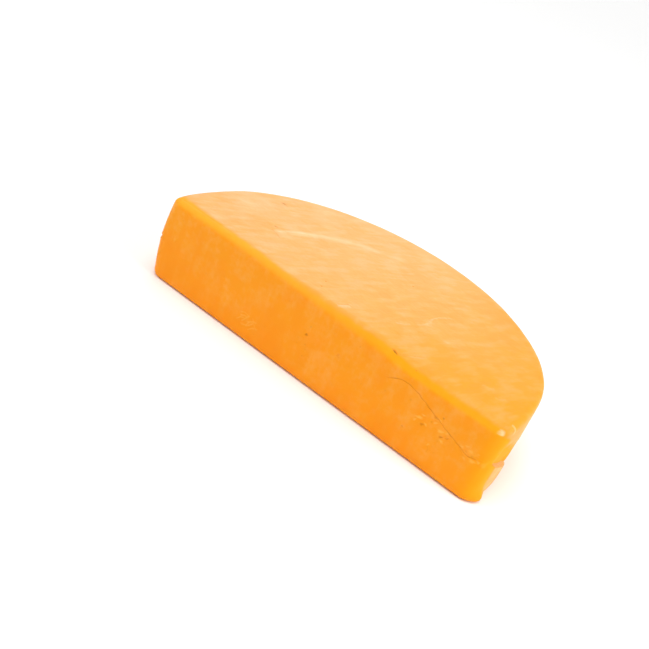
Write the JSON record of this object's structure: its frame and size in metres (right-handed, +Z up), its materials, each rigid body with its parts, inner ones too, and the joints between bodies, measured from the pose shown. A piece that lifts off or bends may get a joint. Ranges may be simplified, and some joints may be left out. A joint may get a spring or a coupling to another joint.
{
  "type": "cheddar cheese half wheel",
  "caption": "Half wheel of orange cheddar lying on its flat underside, with a straight cut face, a round back, worn edges, a fine crack and small pits.",
  "frame": {"origin": "on the floor, under the middle of the half wheel's bounding box", "axes": "+Z up out of the flat underside; +X along the straight cut, with the cracked end at +X; +Y from the cut face to the round back"},
  "size_m": [0.2809, 0.1677, 0.0602],
  "materials": {
    "cheddar": "orange hard cheese with a soft waxy shine and light shining into it"
  },
  "bodies": {
    "root": {"cheddar_half_wheel": "cheddar"}
  },
  "joints": []
}
